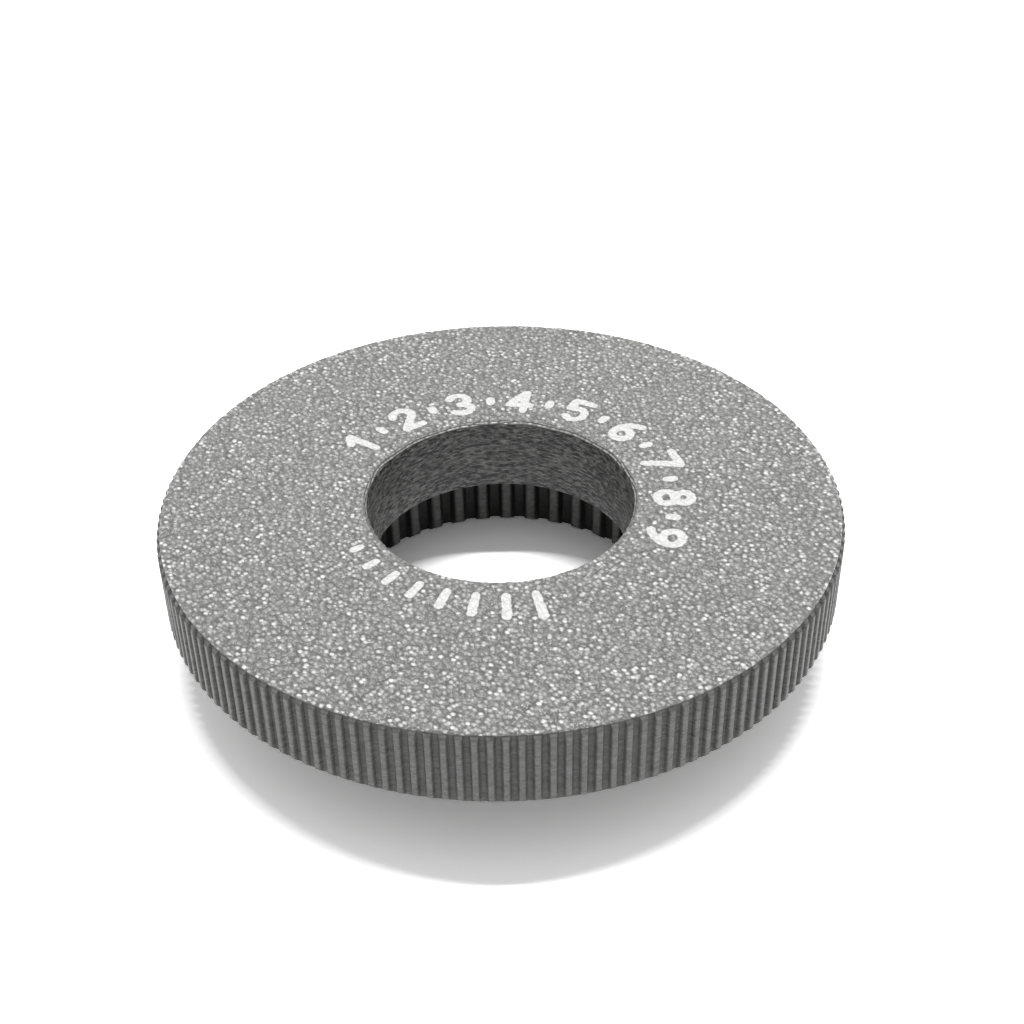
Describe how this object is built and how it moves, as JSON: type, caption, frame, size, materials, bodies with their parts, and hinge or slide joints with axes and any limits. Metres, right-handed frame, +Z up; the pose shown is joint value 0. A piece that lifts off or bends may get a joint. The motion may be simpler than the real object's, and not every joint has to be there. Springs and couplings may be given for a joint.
{
  "type": "lens gear",
  "caption": "Printed slip-on gear disc: fine teeth round the rim, a smooth bore, and a hub below with a toothed socket that pushes over a coarser drive gear.",
  "frame": {"origin": "centre of the hub's end face, which the part stands on", "axes": "+Z up along the gear's axis, from the hub to the toothed disc; a rim tooth lies on +Y"},
  "size_m": [0.0648, 0.0648, 0.0153],
  "materials": {
    "printed_plastic": "satin grey print with a pebbled top face"
  },
  "bodies": {
    "root": {"lens_gear": "printed_plastic"}
  },
  "joints": []
}
